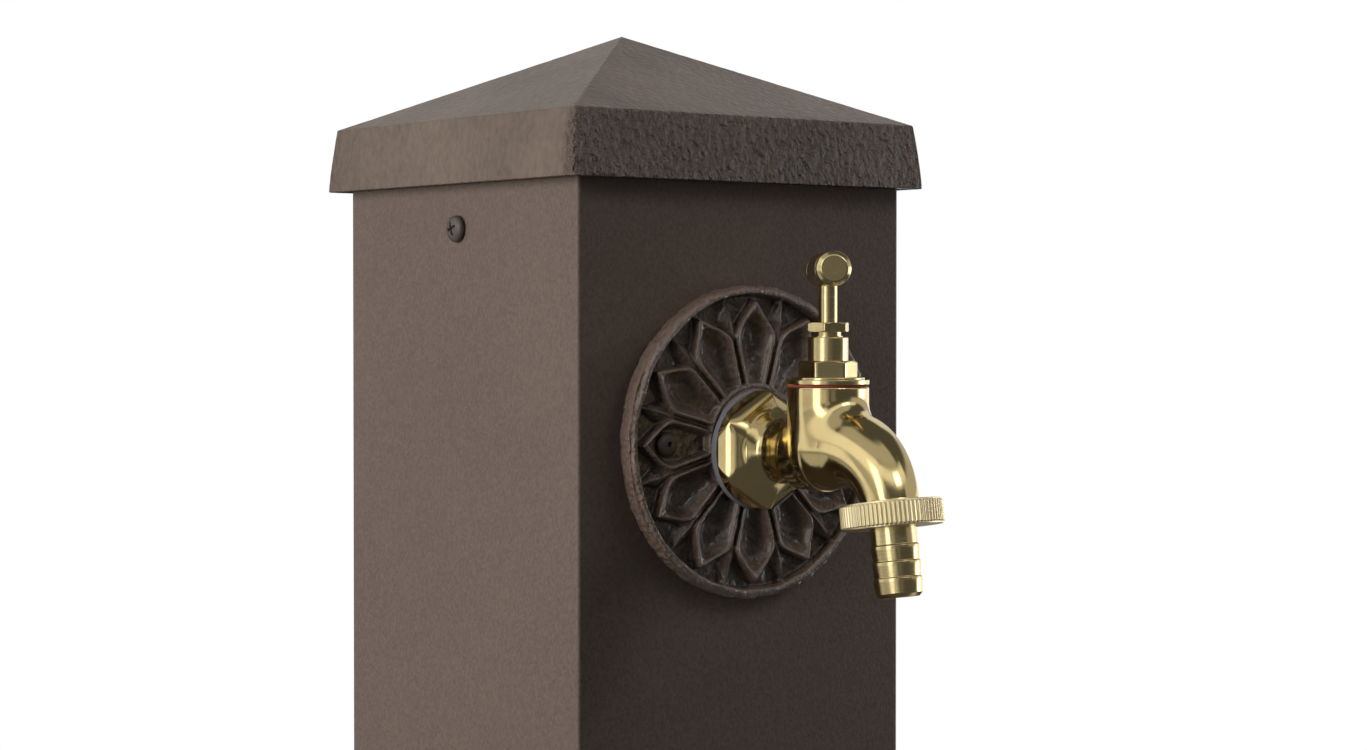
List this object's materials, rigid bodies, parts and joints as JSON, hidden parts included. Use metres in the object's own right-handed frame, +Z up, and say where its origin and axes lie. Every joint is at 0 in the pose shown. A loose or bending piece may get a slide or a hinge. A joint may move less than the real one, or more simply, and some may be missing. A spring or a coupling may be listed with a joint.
{
  "type": "garden water fountain",
  "caption": "Square steel column with a cast pyramid cap, a round petalled rosette and a brass tap with a cross-bar handle, bent spout and knurled hose union.",
  "frame": {"origin": "centre of the anchor bolt pattern on the underside of the base plate", "axes": "+Z up along the column, -Y out of the face that carries the tap"},
  "size_m": [0.2, 0.2493, 0.9998],
  "materials": {
    "coated_steel": "fine matt powder coat, dark brown",
    "coated_casting": "matt coat over a rough sand casting, dark brown",
    "rosette_iron": "rough cast, waxed dark brown",
    "coated_fixings": "painted over with the column",
    "polished_brass": "polished",
    "turned_brass": "turned, satin",
    "pale_washer": "matt",
    "red_fibre": "matt fibre",
    "black_rubber": "matt",
    "galvanised_steel": "galvanised"
  },
  "bodies": {
    "column": {"column_post": "coated_steel", "base_plate": "coated_steel", "base_weld": "coated_steel", "pyramid_cap": "coated_casting", "cap_screws": "coated_fixings", "rosette": "rosette_iron", "rosette_rivets": "coated_fixings", "flange_washer": "pale_washer", "tap_body": "polished_brass", "bonnet_gasket": "red_fibre", "bonnet": "turned_brass", "gland_packing": "black_rubber", "gland_nut": "turned_brass", "wall_washer": "galvanised_steel", "lock_nut": "turned_brass", "inlet_elbow": "galvanised_steel", "riser_pipe": "galvanised_steel", "supply_coupling": "galvanised_steel", "pipe_clips": "galvanised_steel"},
    "valve": {"valve_plate": "turned_brass", "valve_washer": "black_rubber", "valve_nut": "turned_brass"},
    "spindle": {"spindle": "turned_brass", "handle_bar": "turned_brass"},
    "hose_tail": {"hose_tail": "turned_brass", "hose_gasket": "black_rubber"},
    "union_nut": {"union_nut": "turned_brass"}
  },
  "joints": [
    {"name": "valve_lift", "type": "slide", "parent": "column", "child": "valve", "axis": [0, 0, 1], "range_m": [0, 0.004]},
    {"name": "handle_turn", "type": "hinge", "parent": "valve", "child": "spindle", "pos_m": [0, -0.1047, 0.9209], "axis": [0, 0, 1], "range_deg": [0, 720]},
    {"name": "union_drop", "type": "slide", "parent": "column", "child": "hose_tail", "axis": [0, -0.1478, -0.989], "range_m": [0, 0.00363]},
    {"name": "union_nut_turn", "type": "hinge", "parent": "hose_tail", "child": "union_nut", "pos_m": [0, -0.13358, 0.84778], "axis": [0, -0.1478, -0.989], "range_deg": [0, 720]}
  ],
  "couplings": [
    {"joint": "valve_lift", "follows": "handle_turn", "m_per_rad": 0.0003183},
    {"joint": "union_drop", "follows": "union_nut_turn", "m_per_rad": 0.0002887}
  ]
}
